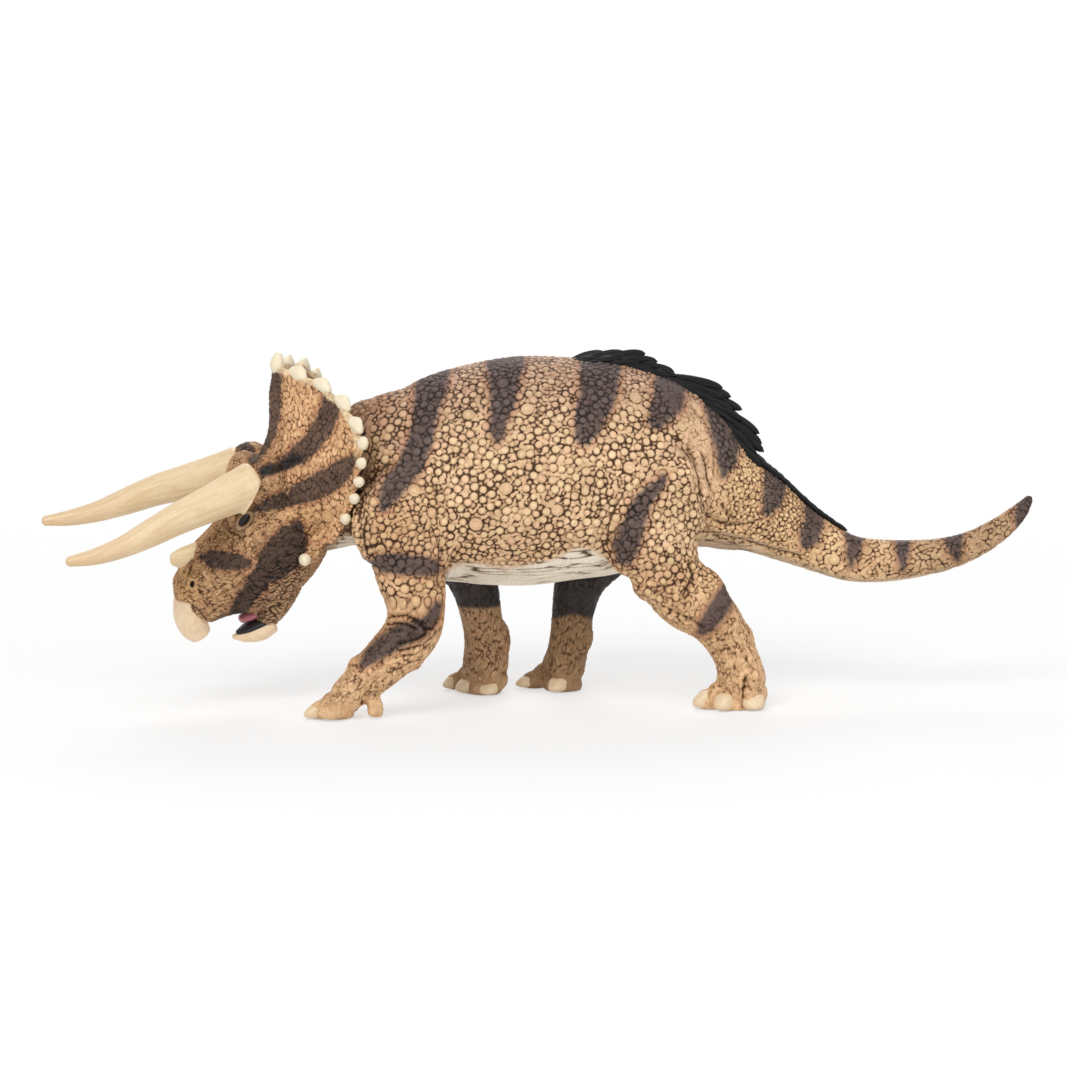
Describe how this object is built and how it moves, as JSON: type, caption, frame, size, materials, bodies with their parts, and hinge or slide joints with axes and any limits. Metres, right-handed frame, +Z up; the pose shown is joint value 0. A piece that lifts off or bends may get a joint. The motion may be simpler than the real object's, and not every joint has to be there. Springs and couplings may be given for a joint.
{
  "type": "toy dinosaur figure",
  "caption": "Horned four-legged dinosaur figure, walking with lowered head, studded neck frill, long brow horns, quill crest and striped, pebbled skin.",
  "frame": {"origin": "on the ground, under the middle of the figure's bounding box", "axes": "-X is the way the figure faces, -Y is its left side, +Z is up"},
  "size_m": [0.2496, 0.0561, 0.0898],
  "materials": {
    "skin": "matt painted, pebbled",
    "face": "matt painted, pebbled",
    "throat": "matt painted, wrinkled",
    "horn": "satin painted, smooth",
    "beak": "satin painted, smooth",
    "crest": "satin painted, ribbed",
    "tongue": "satin painted"
  },
  "bodies": {
    "root": {"torso_left_shell": "skin", "torso_right_shell": "skin", "neck": "throat", "tail": "skin", "quill_crest": "crest", "head": "face", "frill": "face", "lower_jaw": "face", "tongue": "tongue", "upper_beak": "beak", "lower_beak": "beak", "brow_horn_left": "horn", "brow_horn_right": "horn", "nose_horn": "horn", "front_left_leg": "skin", "front_right_leg": "skin", "hind_left_leg": "skin", "hind_right_leg": "skin"}
  },
  "joints": []
}
